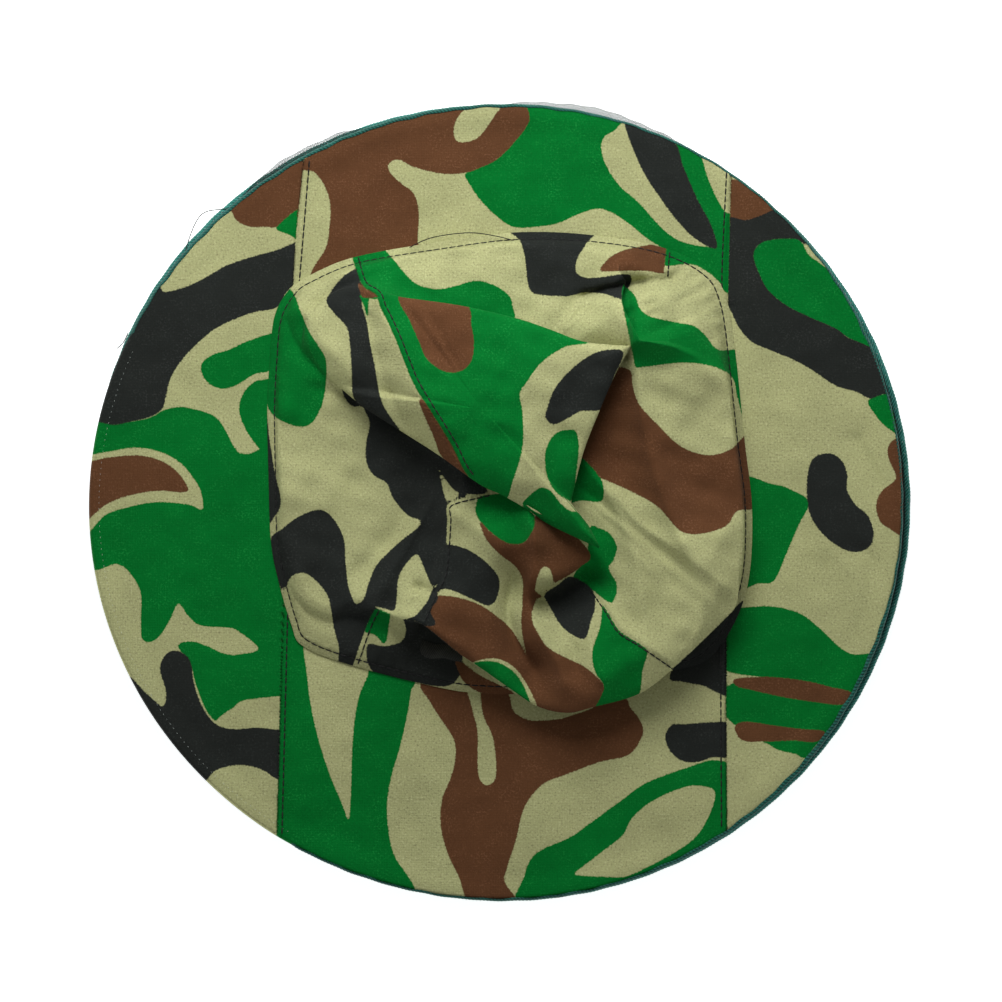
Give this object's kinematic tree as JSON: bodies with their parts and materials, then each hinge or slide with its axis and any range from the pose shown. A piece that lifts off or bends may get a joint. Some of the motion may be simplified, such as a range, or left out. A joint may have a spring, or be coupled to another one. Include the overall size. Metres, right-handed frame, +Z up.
{
  "type": "beekeeping veil",
  "caption": "Soft wide-brimmed camouflage hat with a hooped net veil that drops from the brim to an elastic neck opening, lying flat with the veil collapsed.",
  "frame": {"origin": "bottom centre of the bounding box, on the surface that the hat lies on", "axes": "+Z up out of the crown, -Y the way the wearer faces, +X to the right in a view from above with the back of the hat uppermost"},
  "size_m": [0.3427, 0.3325, 0.0468],
  "materials": {
    "camo_cotton": "matte woven",
    "teal_tape": "matte twill tape",
    "black_net": "fine open mesh",
    "spring_wire": "plain drawn wire",
    "band_cotton": "matte woven",
    "elastic_cord": "braided"
  },
  "bodies": {
    "hat": {"crown_center_strip": "camo_cotton", "crown_left_panel": "camo_cotton", "crown_right_panel": "camo_cotton", "head_band": "band_cotton", "brim_back_panel": "camo_cotton", "brim_front_panel": "camo_cotton", "brim_left_panel": "camo_cotton", "brim_right_panel": "camo_cotton", "brim_binding": "teal_tape", "brim_hoop": "spring_wire", "brim_hoop_joiner": "spring_wire", "veil_net": "black_net"},
    "veil_ring": {"veil_binding": "teal_tape", "veil_hoop": "spring_wire", "veil_hoop_joiner": "spring_wire", "neck_skirt": "black_net"},
    "neck": {"neck_hem": "band_cotton", "neck_elastic": "elastic_cord"}
  },
  "joints": [
    {"name": "veil_drop", "type": "slide", "parent": "hat", "child": "veil_ring", "axis": [0, 0, -1], "range_m": [0, 0.23], "deforming": ["veil_net"]},
    {"name": "neck_drop", "type": "slide", "parent": "veil_ring", "child": "neck", "axis": [0, 0, -1], "range_m": [0, 0.06], "deforming": ["neck_skirt"]}
  ]
}
